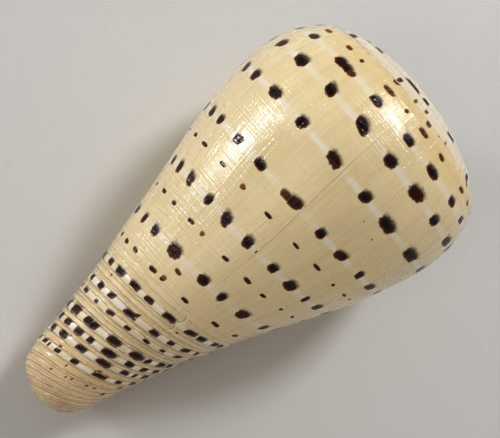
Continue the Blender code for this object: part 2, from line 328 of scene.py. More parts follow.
SPOT_ROWS = (
    SpotRow(9.2, 0.42, 2.4, 16.0, 0.0, 0.8, {
        87: 2.8, 105.2: 2.0, 114.8: 1.0, 132.5: 2.9, 143.4: 0.9, 154.8: 2.9, 168.1: 2.0, 189.7: 2.6,
        201.8: 1.7}, Ink.BROWN),
    SpotRow(12.2, 0.85, 3.0, 16.0, 0.35, 0.65, {
        72: 2.6, 90: 2.9, 111.8: 3.4, 115.6: 2.8, 133.5: 3.0, 152.5: 2.9, 169: 3.6, 187.5: 2.9, 204: 2.8}),
    SpotRow(17.0, 1.15, 3.0, 16.0, 0.5, 0.65, {
        82.3: 3.0, 101: 3.7, 120: 2.6, 137.8: 3.3, 154: 2.8, 170.5: 4.2, 186.5: 2.6, 206: 4.0}),
    SpotRow(24.3, 1.1, 2.8, 17.0, 0.5, 0.62, {
        76.5: 2.7, 89: 2.6, 105: 3.4, 122.5: 2.4, 140.7: 3.3, 158.5: 2.4, 173: 4.2, 194.5: 5.2, 214: 3.0}),
    SpotRow(34.2, 0.98, 2.6, 15.0, 0.5, 0.62, {
        79.5: 2.8, 90.5: 2.2, 107: 2.4, 122.5: 2.7, 143: 3.6, 159.5: 2.2, 173: 3.2, 188.3: 2.0, 202: 3.4,
        217: 3.0}),
    SpotRow(39.0, 0.33, 1.8, 15.0, 0.0, 0.8, {
        79.5: 2.0, 92: 2.5, 109: 2.0, 123.8: 1.5, 140: 2.0, 157.5: 1.9, 171.5: 2.4, 185.5: 1.0, 197.5: 1.8,
        205: 1.0}),
    SpotRow(45.0, 1.15, 2.7, 15.0, 0.38, 0.75, {
        85: 2.6, 98.5: 3.0, 115: 2.3, 128.3: 2.9, 143: 2.7, 160: 2.5, 173: 3.4, 186: 1.5, 198: 2.8,
        215: 3.0}),
    SpotRow(50.0, 0.38, 1.9, 15.0, 0.0, 0.8, {
        85.5: 2.3, 99: 1.8, 115.5: 2.3, 124.5: 1.2, 142: 2.1, 158: 2.4, 170.5: 1.8, 185.5: 1.0, 198: 1.5}),
    SpotRow(56.0, 1.15, 3.2, 18.0, 0.3, 0.9, {
        85: 2.6, 100: 3.2, 120: 4.4, 143.5: 3.5, 158: 2.5, 175.5: 4.2, 198: 2.8}),
    SpotRow(61.3, 0.42, 2.6, 19.0, 0.0, 0.8, {
        83.5: 2.8, 97: 2.6, 117.5: 3.0, 126.5: 1.7, 146: 2.7, 172.5: 3.2, 193: 2.4}),
    SpotRow(66.1, 0.72, 4.5, 17.0, 0.6, 0.6, {
        60: 6.7, 82.5: 4.0, 98.5: 5.2, 116: 4.7, 131: 3.7, 149.5: 5.2, 169: 4.7, 179.5: 3.8, 194: 3.4,
        201: 2.9}),
    SpotRow(70.7, 0.67, 3.9, 18.0, 0.7, 0.62, {
        71: 4.3, 91.5: 4.3, 107: 3.4, 129.5: 6.3, 153: 3.8, 168.5: 3.1, 184: 4.0, 196.5: 2.2}),
    SpotRow(73.3, 0.46, 3.1, 18.0, 0.4, 0.45, {
        77.5: 4.7, 99: 2.4, 117.5: 3.8, 136.5: 2.9, 155: 3.4, 171: 2.6, 187.5: 4.0, 205: 2.9}),
    SpotRow(77.4, 0.99, 5.6, 22.0, 0.7, 0.72, {
        63: 5.6, 85.5: 7.3, 107.5: 4.9, 115: 4.5, 138.5: 6.3, 163: 6.7, 174.5: 2.7, 189: 4.5, 198.5: 3.8}),
    SpotRow(80.2, 0.79, 4.7, 19.0, 0.6, 0.6, {
        69: 5.0, 89: 5.6, 108: 5.2, 123: 3.4, 144.5: 6.7, 166.5: 4.3, 182.5: 3.6, 197.5: 4.0}),
    SpotRow(82.8, 0.77, 5.6, 24.0, 0.65, 0.68, {
        72: 6.7, 96.5: 6.7, 123.5: 6.0, 150: 7.4, 172.5: 4.7, 184: 2.2, 198: 4.5}),
    SpotRow(86.0, 0.58, 4.5, 24.0, 0.6, 0.45, {
        80.5: 4.9, 90.5: 1.8, 106.5: 4.0, 129.5: 4.3, 159.5: 7.2, 181: 3.6, 199: 3.9}),
)

ODD_SPOTS = (
    Spot(139.2, 34.3, 3.2, 0.75, Ink.BROWN),
    Spot(118.6, 12.4, 1.9, 0.65, Ink.BROWN),
    Spot(124.6, 50.0, 1.4, 0.5, Ink.ORANGE),
    Spot(123.6, 39.0, 1.3, 0.5, Ink.ORANGE),
    Spot(130.0, 58.2, 2.5, 0.42, Ink.BROWN, -0.2),
    Spot(126.8, 61.0, 1.8, 0.5, Ink.ORANGE),
    Spot(148.7, 45.0, 0.5, 0.3, Ink.BROWN),
    Spot(93.0, 67.8, 1.0, 0.25, Ink.ORANGE),
    Spot(163.0, 67.8, 1.1, 0.25, Ink.ORANGE),
    Spot(133.5, 70.2, 2.0, 0.55, Ink.BROWN, 0.5),
    Spot(104.5, 82.0, 0.9, 0.3, Ink.BROWN),
    Spot(105.0, 85.0, 2.2, 0.32, Ink.ORANGE),
    Spot(155.0, 85.0, 2.4, 0.35, Ink.ORANGE),
    Spot(127.3, 87.6, 1.0, 0.25, Ink.BROWN),
    Spot(118.5, 90.0, 1.2, 0.22, Ink.BROWN),
    Spot(137.5, 89.9, 0.9, 0.25, Ink.BROWN),
    Spot(144.0, 89.7, 1.3, 0.25, Ink.BROWN, 0.3),
    Spot(161.5, 89.7, 1.8, 0.28, Ink.ORANGE, 0.3),
    Spot(170.5, 89.7, 1.5, 0.25, Ink.ORANGE),
    Spot(188.5, 91.2, 2.2, 0.4, Ink.BROWN, 0.4),
    Spot(193.5, 88.0, 3.0, 0.4, Ink.ORANGE, 0.2),
    Spot(166.0, 27.0, 0.3, 0.12, Ink.BROWN),
    Spot(174.5, 28.0, 0.5, 0.12, Ink.BROWN, -0.3),
)


@dataclass(frozen=True)
class Spire:
    """Blotches on the ramps of the spire: a row of small ones, and streaks running in to the suture."""

    ramp_rows: float = 4.5
    spacing: float = 15.0
    edge_on: tuple[float, float] = (90.0, 190.0)
    edge_on_turns: int = 3
    first: float = 8.0
    scatter: float = 2.4
    share_with_small: float = 0.6
    small_beside: float = 7.0

    def row(self, share):
        """Row that stands for a share of the way in across a ramp: it goes on from the shoulder."""
        return Coil.shoulder_height - share * self.ramp_rows

    def seen(self) -> list[Spot]:
        """The small brown ones on the ramp of the last whorl, and black streaks on the whorl before it."""
        inks = {
            Ink.BROWN: ((130.2, 0.47, 1.9), (153.8, 0.4, 1.7), (193.5, 0.38, 1.4), (129.0, 0.96, 1.3)),
            Ink.ORANGE: ((142.0, 0.79, 0.9), (149.5, 0.97, 1.1), (161.5, 0.49, 0.6), (167.8, 0.75, 0.6)),
            Ink.BLACK: ((458.2, 0.8, 4.8), (492.8, 0.8, 6.4), (505.5, 0.8, 2.6), (534.0, 0.8, 4.5)),
        }
        half_heights = {Ink.BROWN: 1.05, Ink.ORANGE: 0.6, Ink.BLACK: 1.1}
        return [Spot(back, self.row(share), half, half_heights[ink], ink)
                for ink, places in inks.items() for back, share, half in places]

    def spots(self, rng: np.random.Generator, turns: int) -> list[Spot]:
        """Every blotch from the lip to the apex."""
        found = self.seen()
        low, high = self.edge_on
        for back in np.arange(self.first, turns * TURN, self.spacing):
            at = back + rng.normal(0.0, self.scatter)
            if low < at % TURN < high and at < self.edge_on_turns * TURN:
                continue
            row, wide, tall = self.row(rng.uniform(0.6, 0.95)), rng.uniform(2.4, 4.6), rng.uniform(0.7, 1.5)
            found.append(Spot(at, row, wide, tall, slant=rng.normal(0.0, 0.2)))
            if rng.random() < self.share_with_small:
                row, wide = self.row(rng.uniform(0.2, 0.5)), rng.uniform(1.0, 2.2)
                found.append(Spot(at + self.small_beside, row, wide, rng.uniform(0.3, 0.6), Ink.BROWN))
        return found


@dataclass(frozen=True)
class Scar:
    """A growth line that shows: its place at the shoulder, its place at the base, and its strength."""

    back_at_shoulder: float
    back_at_base: float
    strength: float
    slant_rows: tuple[float, float] = (8.0, 62.0)

    def place(self, row):
        """Angle back from the lip at a row."""
        share = ease(*self.slant_rows, row)
        return self.back_at_shoulder + share * (self.back_at_base - self.back_at_shoulder)


SCARS = (
    Scar(114.5, 116.0, 0.35),
    Scar(119.5, 121.0, 0.4),
    Scar(129.5, 132.0, 0.25),
    Scar(144.5, 150.5, 1.0),
    Scar(150.5, 153.5, 0.3),
    Scar(165.0, 166.5, 0.4),
    Scar(179.0, 180.5, 0.25),
    Scar(184.0, 185.5, 0.5),
    Scar(92.0, 94.0, 0.2),
    Scar(68.0, 70.0, 0.35),
    Scar(46.0, 48.0, 0.5),
    Scar(24.0, 25.0, 0.35),
    Scar(9.0, 9.5, 0.7),
    Scar(221.0, 223.0, 0.4),
    Scar(252.0, 255.0, 0.5),
    Scar(290.0, 292.0, 0.3),
    Scar(322.0, 325.0, 0.5),
)


@dataclass(frozen=True)
class HealedBreak:
    """A short stretch of old lip that broke and healed in scallops, in rows and degrees back from the lip."""

    back: float = 156.0
    first_row: float = 63.4
    last_row: float = 68.9
    scallop: float = 2.75
    bow: float = 2.7


@dataclass
class Markings:
    """Works out, for every face corner of a sheet, where it lies in its spot, band and growth line."""

    coil: Coil
    cords: Cords
    seed: int = 7
    faces_at_once: int = 4096

    def __post_init__(self) -> None:
        rng = np.random.default_rng(self.seed)
        found = [spot for row in SPOT_ROWS for spot in row.spots(rng)]
        found += [*ODD_SPOTS, *Spire().spots(rng, self.coil.spire_turns)]
        places = [(spot.back, spot.row, spot.half_width, spot.half_height, spot.slant) for spot in found]
        self.table = np.array([(*place, *spot.ink.value) for place, spot in zip(places, found)])
        self.seeds = rng.random(len(found))

    def own_spot(self, back, row):
        """Index of the spot that each place belongs to."""
        choice = np.zeros(len(back), dtype=int)
        for first in range(0, len(back), self.faces_at_once):
            part = slice(first, first + self.faces_at_once)
            across = (back[part, None] - self.table[None, :, 0]) / self.table[None, :, 2]
            along = (row[part, None] - self.table[None, :, 1]) / self.table[None, :, 3]
            choice[part] = np.argmin(across ** 2 + along ** 2, axis=1)
        return choice

    def layers(self, back, row, glaze: float) -> dict[str, np.ndarray]:
        """Values for the shading, one set for each corner of each four-sided face.

        Args:
            back: Angles back from the lip, faces by corners.
            row: Growth rows, faces by corners.
            glaze: Share of white glaze over the pattern.

        Returns:
            Vectors named for the attribute that holds them.
        """
        middle_back, middle_row = back.mean(axis=1), row.mean(axis=1)
        pick = self.own_spot(middle_back, middle_row)
        spot_back, spot_row, wide, tall, slant, black, orange = self.table[pick].T[..., None]
        across = (back - spot_back) / wide
        along = (row - spot_row) / tall + slant * across
        bands = np.array([[line.row, line.band, line.band_half] for line in SPOT_ROWS if line.band > 0.0])
        band_row, band, band_half = bands[nearest(middle_row, bands[:, 0])].T[..., None]
        scars = nearest(middle_back, np.stack([scar.place(middle_row) for scar in SCARS], axis=-1))
        scar_back = np.choose(scars[:, None], [scar.place(row) for scar in SCARS])
        strength = np.array([scar.strength for scar in SCARS])[scars][:, None]
        grooves = self.cords.all_grooves()
        groove_row = grooves[nearest(middle_row, grooves)][:, None]
        return {
            "spot": vectors(across, along, self.seeds[pick][:, None]),
            "ink": vectors(black, orange, tall + 0.0 * row),
            "band": vectors((row - band_row) / band_half, band, 1.0),
            "scar": vectors(back - scar_back, strength, 1.0),
            "groove": vectors(row - groove_row, ease(*self.cords.fade_in, row), 1.0),
            "glaze": vectors(glaze, self.cords.profile(row) / self.cords.white_rise, row),
        }


@dataclass
class Sheet:
    """One sheet of the shell wall: a grid wrapped round the coil."""

    name: str
    columns: np.ndarray
    rows: np.ndarray
    place: Callable
    part: Part
    reference_radius: float = 22.0

    def build(self, markings: Markings) -> bpy.types.Object:
        """Add a flat grid and wrap it into place, with its growth coordinates on every face corner.

        Args:
            markings: The spots, bands and growth lines to lay on it.

        Returns:
            The sheet, in the coil's frame, in millimetres.
        """
        across, down = len(self.columns) - 1, len(self.rows) - 1
        bpy.ops.object.select_all(action="DESELECT")
        bpy.ops.mesh.primitive_grid_add(x_subdivisions=across, y_subdivisions=down, size=2.0)
        sheet = bpy.context.object
        sheet.name = self.name
        mesh = sheet.data
        flat = np.empty(len(mesh.vertices) * 3, np.float32)
        mesh.vertices.foreach_get("co", flat)
        flat = flat.reshape(-1, 3)
        column = np.rint((flat[:, 0] + 1.0) / 2.0 * across).astype(int)
        line = np.rint((flat[:, 1] + 1.0) / 2.0 * down).astype(int)
        points, back, row = self.place(self.columns[column], self.rows[line])
        mesh.vertices.foreach_set("co", points.astype(np.float32).ravel())
        corners = np.empty(len(mesh.loops), np.int32)
        mesh.loops.foreach_get("vertex_index", corners)
        corners = corners.reshape(-1, 4)
        back, row = back[corners], row[corners]
        for name, values in markings.layers(back, row, self.part.value).items():
            layer = mesh.attributes.new(name, "FLOAT_VECTOR", "CORNER")
            layer.data.foreach_set("vector", values.astype(np.float32).ravel())
        for old in list(mesh.uv_layers):
            mesh.uv_layers.remove(old)
        growth = mesh.uv_layers.new(name="growth")
        uv = np.stack([np.radians(back) * self.reference_radius, row], axis=-1)
        growth.data.foreach_set("uv", uv.astype(np.float32).ravel())
        mesh.update()
        return sheet


@dataclass
class ConeShell:
    """The whole shell: every sheet of its wall, joined, laid down and dressed."""

    coil: Coil
    cords: Cords
    column_step: float = 1.5
    flank_step: float = 0.6
    base_row: float = 60.0
    base_step: float = 0.29
    last_row: float = 124.0
    aperture_depth: float = 72.0
    inner_step: float = 3.0
    ceiling_row: float = 11.0
    rim_advance: float = 0.55
    end_advance: float = 1.6
    ramp_ribs: int = 7
    edge_ribs: int = 7
    crease: float = 50.0
    channel_depth: float = 0.35
    channel_start: float = 0.55
    bulge: float = 0.15
    bulge_end: float = 0.6
    rest_pitch: float = 14.0
    rest_roll: float = -2.2
    rest_wear: float = 0.6
    merge: float = 0.03
    box_margin: float = 1e-4

    def rows(self) -> np.ndarray:
        """Rows of the outer wall, from the shoulder to the last that reaches the tip."""
        coil = self.coil
        count = round((self.base_row - coil.shoulder_height) / self.flank_step)
        flank = np.linspace(coil.shoulder_height, self.base_row, count + 1)
        count = round((self.last_row - self.base_row) / self.base_step)
        base = np.linspace(self.base_row, self.last_row, count + 1)[1:]
        rows = np.concatenate([flank, base])
        index = int(np.argmin(np.abs(rows - self.ceiling_row)))
        rows[index] = self.ceiling_row
        return rows

    def carved(self, wall: Callable, back, row):
        """A wall with the cords of the base raised on it."""
        height = np.minimum(self.coil.row_height(row, back), self.coil.tip_height)
        radius, height = wall(row, back, self.cords.relief(row, height))
        return self.coil.point(radius, height, back), back, row

    def outside(self, back, row):
        """Outer wall of the last whorl."""
        return self.carved(self.coil.outer, back, row)

    def parietal(self, back, row):
        """Wall of the whorl before, where the aperture shows it."""
        return self.carved(self.coil.parietal, back, row)

    def inner_face(self, back, row):
        """Inner face of the lip."""
        radius, height = self.coil.inner(row, back)
        return self.coil.point(radius, height, back), back, row

    def between(self, one, other, ahead, share):
        """Half-round edge from one face to another, bulging ahead by a distance."""
        middle, half = (one + other) / 2.0, (one - other) / 2.0
        turn = np.pi * share[:, None]
        return middle + half * np.cos(turn) + ahead * np.sin(turn)

    def rim(self, share, row):
        """Rounded edge of the lip."""
        zero = np.zeros_like(row)
        outer, _, _ = self.outside(zero, row)
        inner, _, _ = self.inner_face(zero, row)
        step, _, _ = self.outside(zero + 1.0, row)
        ahead = outer - step
        ahead = ahead / np.linalg.norm(ahead, axis=1, keepdims=True) * self.rim_advance
        return self.between(outer, inner, ahead, share), zero, row

    def end(self, share, row):
        """Rounded far end of the aperture."""
        parietal_back = np.full_like(row, TURN + self.aperture_depth)
        inner_back = np.full_like(row, self.aperture_depth)
        wall, _, _ = self.parietal(parietal_back, row)
        inner, _, _ = self.inner_face(inner_back, row)
        before, _, _ = self.inner_face(inner_back - 1.0, row)
        ahead = inner - before
        ahead = ahead / np.maximum(np.linalg.norm(ahead, axis=1, keepdims=True), 1e-6) * self.end_advance
        return self.between(wall, inner, ahead, share), inner_back, row

    def ceiling(self, back, share):
        """Roof of the aperture under the ramp."""
        row = np.full_like(back, self.ceiling_row)
        wall, _, _ = self.parietal(back + TURN, row)
        inner, _, _ = self.inner_face(back, row)
        return wall + (inner - wall) * share[:, None], back, row

    def ramp(self, back, share):
        """Ramps of the spire: a shallow channel at the suture, and a bulge towards the shoulder."""
        outer_radius, outer_height = self.coil.shoulder_edge(back)
        inner_back = np.minimum(back + TURN, self.coil.turns_to_apex * TURN)
        inner_radius, inner_height = self.coil.shoulder_edge(inner_back)
        scale = np.minimum(1.0, (outer_radius - inner_radius) / self.coil.growth)
        along = (share - self.channel_start) / (1.0 - self.channel_start)
        channel = self.channel_depth * np.sin(np.pi * np.clip(along, 0.0, 1.0))
        bulge = self.bulge * np.sin(np.pi * np.clip(share / self.bulge_end, 0.0, 1.0))
        radius = outer_radius + share * (inner_radius - outer_radius)
        height = outer_height + share * (inner_height - outer_height) + (channel - bulge) * scale
        return self.coil.point(radius, height, back), back, Spire().row(share)

    def sheets(self) -> list[Sheet]:
        """Every sheet of the wall."""
        whorl = np.linspace(0.0, TURN, round(TURN / self.column_step) + 1)
        opening = np.linspace(0.0, self.aperture_depth, round(self.aperture_depth / self.inner_step) + 1)
        spire_columns = round(self.coil.spire_turns * TURN / self.column_step)
        spire = np.linspace(0.0, self.coil.spire_turns * TURN, spire_columns + 1)
        rows = self.rows()
        lower = rows[rows >= self.ceiling_row]
        shares = np.linspace(0.0, 1.0, self.edge_ribs)
        plan = (
            ("outer_wall", whorl, rows, self.outside, Part.OUTSIDE),
            ("parietal_wall", opening + TURN, lower, self.parietal, Part.PARIETAL),
            ("lip_inner_face", opening, lower, self.inner_face, Part.INSIDE),
            ("lip_rim", shares, lower, self.rim, Part.INSIDE),
            ("aperture_end", shares, lower, self.end, Part.INSIDE),
            ("aperture_ceiling", opening, shares, self.ceiling, Part.INSIDE),
            ("spire_ramps", spire, np.linspace(0.0, 1.0, self.ramp_ribs), self.ramp, Part.OUTSIDE),
        )
        return [Sheet(*line) for line in plan]

    def close(self, shell: bpy.types.Object) -> None:
        """Join the sheets' edges, fill the lip's end and the flat tip, and turn every face outwards."""
        work = bmesh.new()
        work.from_mesh(shell.data)
        bmesh.ops.remove_doubles(work, verts=work.verts, dist=self.merge)
        bmesh.ops.dissolve_degenerate(work, edges=work.edges, dist=self.merge / 3.0)
        open_edges = [edge for edge in work.edges if edge.is_boundary]
        filled = bmesh.ops.holes_fill(work, edges=open_edges, sides=0)["faces"]
        bmesh.ops.triangulate(work, faces=filled)
        bmesh.ops.recalc_face_normals(work, faces=work.faces)
        if work.calc_volume(signed=True) < 0.0:
            bmesh.ops.reverse_faces(work, faces=work.faces)
        left_open = sum(1 for edge in work.edges if not edge.is_manifold)
        log.info("faces filled %d, edges left open %d", len(filled), left_open)
        work.to_mesh(shell.data)
        work.free()

    def rest(self) -> Matrix:
        """Turn from the coil's frame to the way the shell lies."""
        return Matrix.Rotation(-math.radians(self.rest_pitch), 4, "Y") @ Matrix.Rotation(
            math.radians(self.rest_roll), 4, "X")

    def lay_down(self, shell: bpy.types.Object, low: Vector, high: Vector) -> Matrix:
        """Lay the shell on its flank and lip inside the box of the solid.

        Args:
            shell: The joined shell, in millimetres in the coil's frame.
            low: Lowest corner of the solid's box, in metres.
            high: Highest corner of the solid's box, in metres.

        Returns:
            The matrix that places anything of the coil's frame, millimetres to metres.
        """
        mesh = shell.data
        turned = self.rest()
        mesh.transform(turned)
        points = np.empty(len(mesh.vertices) * 3, np.float32)
        mesh.vertices.foreach_get("co", points)
        points = points.reshape(-1, 3).astype(float)
        own_low, own_high = points.min(axis=0), points.max(axis=0)
        middle = (np.array(low) + np.array(high)) / 2.0 / MM
        shift = np.array([*(middle[:2] - (own_low + own_high)[:2] / 2.0), -own_low[2] - self.rest_wear])
        margin = self.box_margin * MM
        placed = np.clip((points + shift) * MM, np.array(low) + margin, np.array(high) - margin)
        mesh.vertices.foreach_set("co", placed.astype(np.float32).ravel())
        mesh.update()
        return Matrix.Scale(MM, 4) @ Matrix.Translation(shift) @ turned

    def build(self, finish: "PolishedShell") -> tuple[bpy.types.Object, Matrix]:
        """Build, join, lay down and dress the shell.

        Args:
            finish: The look of its surface.

        Returns:
            The shell, and the matrix from the coil's frame to the scene.
        """
        markings = Markings(self.coil, self.cords)
        log.info("spots %d", len(markings.table))
        sheets = [sheet.build(markings) for sheet in self.sheets()]
        bpy.ops.object.select_all(action="DESELECT")
        for sheet in sheets:
            sheet.select_set(True)
        shell = sheets[0]
        bpy.context.view_layer.objects.active = shell
        bpy.ops.object.join()
        shell.name = "cone_shell_wall"
        self.close(shell)
        low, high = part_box(NODE)
        placed = self.lay_down(shell, low, high)
        bpy.ops.object.select_all(action="DESELECT")
        shell.select_set(True)
        bpy.context.view_layer.objects.active = shell
        bpy.ops.object.shade_smooth_by_angle(angle=math.radians(self.crease))
        shell.data.materials.clear()
        shell.data.materials.append(finish.material())
        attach(shell, "root")
        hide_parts(NODE)
        return shell, placed


class Nodes:
    """Short names for adding and joining shader nodes."""

    def __init__(self, owner: bpy.types.Material | bpy.types.World):
        self.tree = owner.node_tree

    def fill(self, node: bpy.types.Node, inputs: dict) -> None:
        """Give a node its inputs, by name or index: outputs of other nodes are linked, values are set."""
        for key, value in inputs.items():
            if isinstance(value, bpy.types.NodeSocket):
                self.tree.links.new(value, node.inputs[key])
            else:
                node.inputs[key].default_value = value

    def add(self, kind: str, inputs: dict | None = None, **settings) -> bpy.types.Node:
        """Add one node.

        Args:
            kind: The node's type name.
            inputs: Values or output sockets for its inputs, by name or index.
            settings: Properties of the node.

        Returns:
            The node.
        """
        node = self.tree.nodes.new(kind)
        for name, value in settings.items():
            setattr(node, name, value)
        self.fill(node, inputs or {})
        return node

    def math(self, operation: str, *values):
        """Output of a maths node."""
        return self.add("ShaderNodeMath", dict(enumerate(values)), operation=operation).outputs[0]

    def times(self, *values):
        """Product of all values."""
        return reduce(lambda one, other: self.math("MULTIPLY", one, other), values)

    def plus(self, *values):
        """Sum of all values."""
        return reduce(lambda one, other: self.math("ADD", one, other), values)

    def absolute(self, value):
        """A value without its sign."""
        return self.math("ABSOLUTE", value)

    def wander(self, noise, width: float):
        """Noise as a swing about zero, `width` from end to end."""
        return self.math("MULTIPLY_ADD", noise, width, -width / 2.0)

    def fade(self, value, low: float, high: float, out_low: float = 0.0, out_high: float = 1.0):
        """Output of a smooth step from one value to another."""
        inputs = {0: value, 1: low, 2: high, 3: out_low, 4: out_high}
        return self.add("ShaderNodeMapRange", inputs, interpolation_type="SMOOTHSTEP").outputs[0]

    def mix(self, share, one, other):
        """Output of a colour mix: each colour is a socket or an sRGB hex."""
        one, other = (linear(colour) if isinstance(colour, str) else colour for colour in (one, other))
        return self.add("ShaderNodeMix", {0: share, 6: one, 7: other}, data_type="RGBA").outputs[2]

    def noise(self, vector, scale: float, detail: float = 2.0, roughness: float = 0.5):
        """Factor output of a noise texture."""
        inputs = {"Vector": vector, "Scale": scale, "Detail": detail, "Roughness": roughness}
        return self.add("ShaderNodeTexNoise", inputs).outputs["Fac"]

    def bump(self, height, strength: float, distance: float, normal=None, invert: bool = False):
        """Normal bent by a height, whose unit is `distance` in metres."""
        inputs = {"Strength": strength, "Distance": distance, "Height": height}
        if normal is not None:
            inputs["Normal"] = normal
        return self.add("ShaderNodeBump", inputs, invert=invert).outputs[0]

    def split(self, name: str):
        """The three numbers of a vector attribute."""
        source = self.add("ShaderNodeAttribute", attribute_name=name, attribute_type="GEOMETRY")
        return self.add("ShaderNodeSeparateXYZ", {0: source.outputs["Vector"]}).outputs


class ShellNodes(Nodes):
    """Shader nodes with their place on the shell: way round it in mm, row, cord height and share of glaze."""

    def __init__(self, owner: bpy.types.Material):
        super().__init__(owner)
        self.growth = self.add("ShaderNodeUVMap", uv_map="growth").outputs[0]
        self.solid = self.add("ShaderNodeTexCoord").outputs["Object"]
        self.around = self.add("ShaderNodeSeparateXYZ", {0: self.growth}).outputs[0]
        self.glaze, self.cord, self.row = self.split("glaze")

    def grain(self, across: float, along: float, detail: float = 2.0, roughness: float = 0.5):
        """Noise with lumps `across` mm wide round the shell and `along` mm long down it."""
        inputs = {"Vector": self.growth, "Scale": (1.0 / across, 1.0 / along, 1.0)}
        return self.noise(self.add("ShaderNodeMapping", inputs).outputs[0], 1.0, detail, roughness)


@dataclass(frozen=True)
class PolishedShell:
    """Glossy cream shell with near-black spots, pale spiral bands and faint growth lines."""

    cream: str = "#F4E1B8"
    tan: str = "#E6D1A4"
    deep_tan: str = "#E0BE90"
    shoulder: str = "#F0D49E"
    band: str = "#F7F0E3"
    core: str = "#220A03"
    edge: str = "#6A3115"
    grey: str = "#6E6156"
    orange: str = "#9E6529"
    glaze: str = "#FAF4E8"
    # Brown of the old lips and of the healed break's dark side, also the painted shade in the grooves and
    # hollows of the base.
    groove: str = "#AA8758"
    rosy: str = "#CFA890"
    # Near-white of the painted glints on the base and of the painted highlight along the healed break.
    glint_white: str = "#FFF8E8"
    roughness: tuple[float, float] = (0.21, 0.29)
    gloss: tuple[float, float] = (0.25, 0.02)
    polish: tuple[float, float] = (0.7, 0.6)
    polish_roughness: float = 0.1
    body_ior: float = 1.53
    polish_ior: float = 1.6
    glow: float = 0.06
    glow_reach: tuple[float, float, float] = (0.0016, 0.0011, 0.0006)
    body_grain: float = 0.28
    polish_grain: float = 1.0
    groove_cut: float = 0.00014
    grain_height: float = 0.00016
    ridge_height: float = 0.0001
    # How far beside each groove the painted glint lies, in millimetres.
    glint_gap: float = 0.33
    spot_edge: float = 1.03

    def material(self) -> bpy.types.Material:
        """Make the material: a clear polish with a strong grain over a body with a fainter one.

        Both the gloss and the polish weaken over the dark spots.
        """
        material = bpy.data.materials.new("polished_cone_shell")
        material.use_nodes = True
        nodes = ShellNodes(material)
        colour = self.bands(nodes, self.body(nodes))
        colour, dark = self.spots(nodes, self.growth_lines(nodes, colour))
        # Painted glints along the threads of the base.
        colour = self.glinting_threads(nodes, colour, dark)
        colour = self.healed_break(nodes, colour, HealedBreak())
        height = self.weave(nodes)
        nodes.fill(material.node_tree.nodes["Principled BSDF"], {
            "Base Color": nodes.mix(nodes.glaze, colour, self.glaze),
            "Roughness": nodes.fade(nodes.noise(nodes.solid, 350.0), 0.35, 0.7, *self.roughness),
            "IOR": self.body_ior,
            "Normal": self.normal(nodes, height, self.body_grain),
            "Specular IOR Level": nodes.fade(dark, 0.0, 1.0, *self.gloss),
            "Coat Weight": nodes.fade(dark, 0.0, 1.0, *self.polish),
            "Coat Roughness": self.polish_roughness,
            "Coat IOR": self.polish_ior,
            "Coat Normal": self.normal(nodes, height, self.polish_grain),
            "Subsurface Weight": self.glow,
            "Subsurface Radius": self.glow_reach,
            "Subsurface Scale": 1.0,
        })
        return material

    def body(self, nodes: ShellNodes):
        """Cream ground: mottled in growth streaks, warmer at the shoulder and towards the tip, with painted
        shade in the hollows and grooves of the base.
        """
        row = nodes.row
        clouds = nodes.noise(nodes.solid, 70.0, 3.0)
        streaks = nodes.fade(nodes.grain(1.6, 30.0, 4.0, 0.6), 0.38, 0.72, 0.0, 0.45)
        share = nodes.plus(streaks, nodes.fade(clouds, 0.4, 0.65, 0.0, 0.35))
        colour = nodes.mix(share, self.cream, self.tan)
        warm = nodes.times(nodes.fade(row, 13.0, 7.0), nodes.fade(clouds, 0.35, 0.6, 0.25, 0.75))
        colour = nodes.mix(warm, colour, self.shoulder)
        # The spire's pale ramps, painted whiter in part as a highlight along its rim.
        colour = nodes.mix(self.pale_ramp_and_rim_highlight(nodes), colour, self.band)
        colour = nodes.mix(nodes.fade(row, 48.0, 98.0, 0.0, 0.6), colour, self.deep_tan)
        flush = nodes.fade(nodes.noise(nodes.solid, 160.0), 0.42, 0.62)
        flush = nodes.times(flush, nodes.fade(row, 84.0, 98.0, 0.0, 0.55))
        colour = nodes.mix(flush, colour, self.rosy)
        # Painted shade: darker in the hollows between the cords of the base.
        valley_shade = nodes.times(nodes.fade(nodes.cord, 0.15, -0.35), nodes.fade(row, 58.0, 72.0, 0.0, 0.12))
        colour = nodes.mix(valley_shade, colour, self.groove)
        # Painted shade: dark lines in the grooves of the base, weaker towards the tip.
        line = nodes.times(self.groove_depth(nodes), nodes.fade(row, 82.0, 94.0, 0.46, 0.2))
        return nodes.mix(line, colour, self.groove)

    def pale_ramp_and_rim_highlight(self, nodes: ShellNodes):
        """Share of white on the spire, next to the last suture and on all the ramps before it: partly the
        spire's own pale colour, partly a painted highlight along its rim.
        """
        one_turn = 2.0 * math.pi * Sheet.reference_radius
        earlier = nodes.fade(nodes.around, 0.95 * one_turn, one_turn)
        earlier = nodes.times(earlier, nodes.fade(nodes.row, 8.6, 8.2, 0.0, 0.6))
        return nodes.math("MAXIMUM", earlier, nodes.fade(nodes.row, 5.7, 4.3, 0.0, 0.55))

    def groove_depth(self, nodes: ShellNodes, beside: float = 0.0):
        """How deep a place lies in a groove of the base, from 0 to 1: grooves wander and break a little."""
        off, depth, _ = nodes.split("groove")
        off = nodes.absolute(nodes.plus(off, beside, nodes.wander(nodes.grain(2.5, 1.0), 0.5)))
        broken = nodes.fade(nodes.grain(3.0, 0.6, 1.0), 0.3, 0.55, 0.35, 1.0)
        return nodes.times(nodes.fade(off, 0.17, 0.02), depth, broken)

    def glinting_threads(self, nodes: ShellNodes, colour, dark):
        """Painted glints: bright broken lines beside the grooves of the base, standing in for light caught on
        the threads, fainter where they cross a spot.
        """
        dashes = nodes.fade(nodes.grain(2.2, 0.7), 0.42, 0.55, 0.15, 1.0)
        over_spot = nodes.fade(dark, 0.0, 1.0, 1.0, 0.3)
        lit = nodes.times(self.groove_depth(nodes, self.glint_gap), dashes, over_spot)
        return nodes.mix(lit, colour, self.glint_white)

